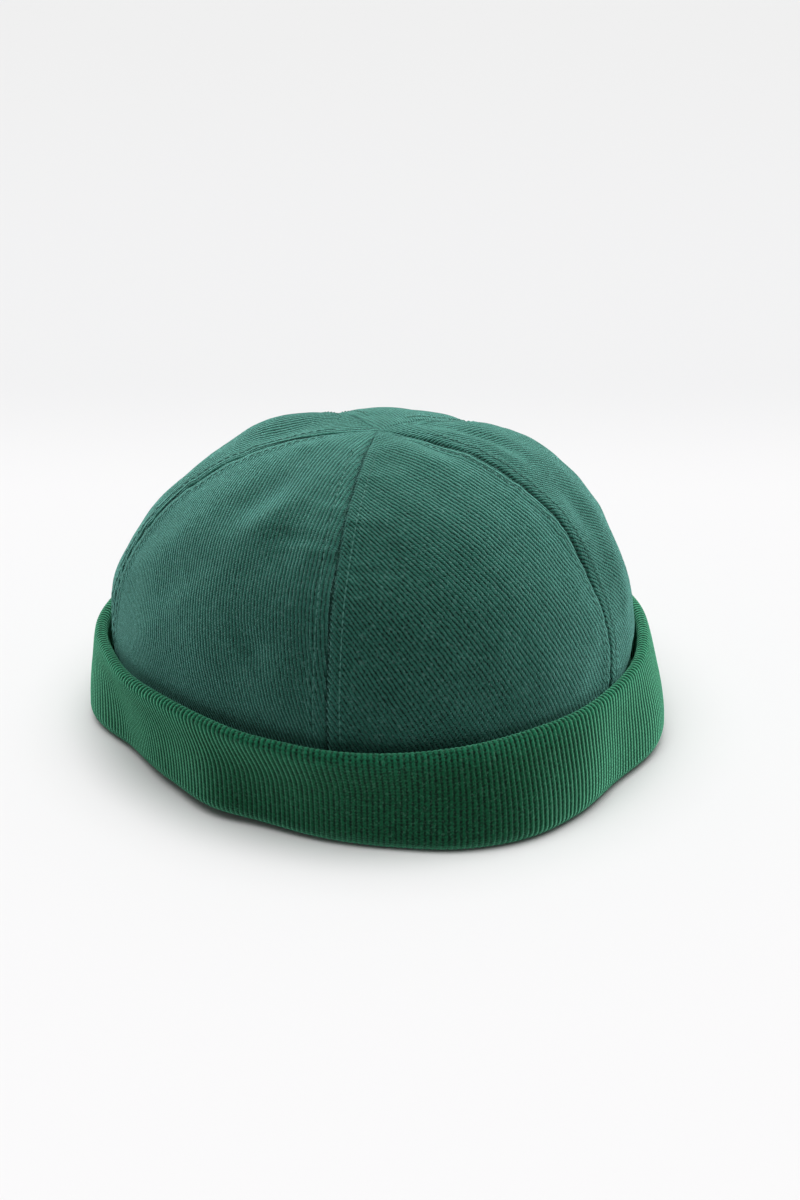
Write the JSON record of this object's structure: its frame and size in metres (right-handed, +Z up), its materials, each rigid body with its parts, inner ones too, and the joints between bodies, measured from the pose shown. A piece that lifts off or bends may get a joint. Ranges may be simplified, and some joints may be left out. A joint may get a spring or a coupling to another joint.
{
  "type": "docker cap",
  "caption": "Close-fitting brimless cap: a round crown of sewn twill panels that meet at the top, with a thick turned-up cuff of rib knit around the edge.",
  "frame": {"origin": "middle of the cap's footprint, on the surface that it rests on", "axes": "+Z up through the crown's top, -Y the way the front seam faces, +X the wearer's left"},
  "size_m": [0.2064, 0.1958, 0.1123],
  "materials": {
    "brushed_twill": "brushed cotton twill, matt and slightly fuzzy",
    "rib_knit": "fine rib knit in cotton, matt"
  },
  "bodies": {
    "root": {"crown_panel_front_right": "brushed_twill", "crown_panel_right": "brushed_twill", "crown_panel_back": "brushed_twill", "crown_panel_left": "brushed_twill", "crown_panel_front_left": "brushed_twill", "rib_cuff": "rib_knit"}
  },
  "joints": []
}
